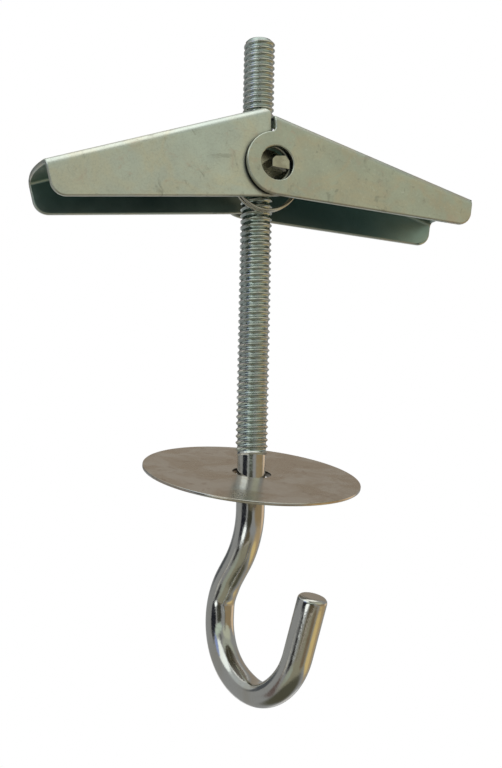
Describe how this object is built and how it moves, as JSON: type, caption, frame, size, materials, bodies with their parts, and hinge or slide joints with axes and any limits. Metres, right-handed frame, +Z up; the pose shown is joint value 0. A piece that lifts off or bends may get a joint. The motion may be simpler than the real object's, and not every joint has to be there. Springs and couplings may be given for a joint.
{
  "type": "spring toggle hook",
  "caption": "Threaded steel rod with an open hook at one end, two sprung folding wings on a cross nut and a loose cover disc, for hanging things from a hollow ceiling.",
  "frame": {"origin": "where the rod's axis meets the line through the cross nut's two lugs", "axes": "+Z up along the rod, away from the hook; the wings spread along X; the lugs lie along Y, and the hook's arm is on the -Y side"},
  "size_m": [0.0906, 0.041, 0.1327],
  "materials": {
    "hook_rod": "bright zinc plated steel wire, rolled thread",
    "cover_disc": "bright plated sheet steel, smudged",
    "left_wing": "zinc plated pressed sheet steel, faint yellow and blue tint",
    "right_wing": "zinc plated pressed sheet steel, faint yellow and blue tint",
    "trunnion_nut": "zinc plated formed steel",
    "torsion_spring": "plated spring steel wire"
  },
  "bodies": {
    "nut": {"trunnion_nut": "trunnion_nut", "torsion_spring": "torsion_spring"},
    "left_wing": {"left_wing": "left_wing"},
    "right_wing": {"right_wing": "right_wing"},
    "disc": {"cover_disc": "cover_disc"},
    "hook": {"hook_rod": "hook_rod"}
  },
  "joints": [
    {"name": "left_fold", "type": "hinge", "parent": "nut", "child": "left_wing", "pos_m": [0.0001, 0, 0], "axis": [0, -1, 0], "range_deg": [0, 77], "stiffness_Nm_per_rad": 0.012, "springref_deg": -68.75, "deforming": ["torsion_spring"]},
    {"name": "right_fold", "type": "hinge", "parent": "nut", "child": "right_wing", "pos_m": [0.00065, 0, 0], "axis": [0, 1, 0], "range_deg": [0, 82], "stiffness_Nm_per_rad": 0.012, "springref_deg": -68.75, "deforming": ["torsion_spring"]},
    {"name": "screw_travel", "type": "slide", "parent": "nut", "child": "disc", "axis": [0, 0, 1], "range_m": [-0.02159, 0.00889]},
    {"name": "hook_turn", "type": "hinge", "parent": "disc", "child": "hook", "pos_m": [0, 0, -0.0606], "axis": [0, 0, 1], "range_deg": [-6120.5, 2520.5]}
  ],
  "couplings": [
    {"joint": "hook_turn", "follows": "screw_travel", "rad_per_m": 4947.4}
  ]
}
